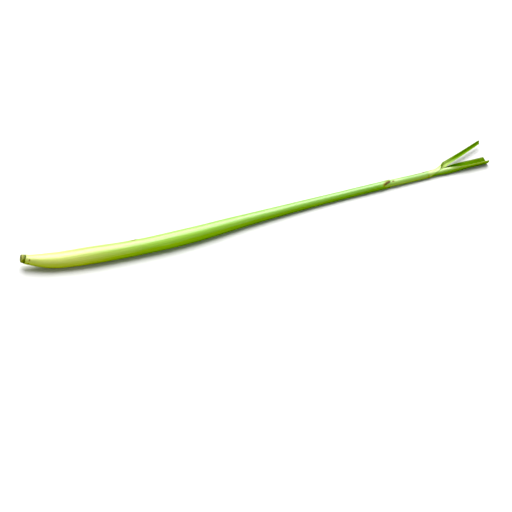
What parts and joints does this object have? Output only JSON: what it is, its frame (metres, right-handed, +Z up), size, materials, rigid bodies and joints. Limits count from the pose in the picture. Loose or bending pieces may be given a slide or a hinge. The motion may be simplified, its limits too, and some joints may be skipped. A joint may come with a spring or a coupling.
{
  "type": "lemongrass stalk",
  "caption": "Cut lemongrass stalk lying down: woody root end, pale swollen base of wrapped leaf sheaths, greener slender top, and trimmed folded leaf blades.",
  "frame": {"origin": "on the surface that the stalk lies on, under the middle of its bounding box", "axes": "+X along the stalk from the cut root end to the cut leaf ends, +Y to the side that the side blade leans to, +Z up from the surface"},
  "size_m": [0.4032, 0.0392, 0.0143],
  "materials": {
    "woody_stub": "matte",
    "pale_sheath": "satin",
    "green_sheath": "satin",
    "leaf_blade": "satin",
    "heart_blade": "satin"
  },
  "bodies": {
    "root": {"root_stub": "woody_stub", "outer_sheath": "pale_sheath", "second_leaf": "green_sheath", "third_leaf": "leaf_blade", "heart_leaf": "heart_blade"}
  },
  "joints": []
}
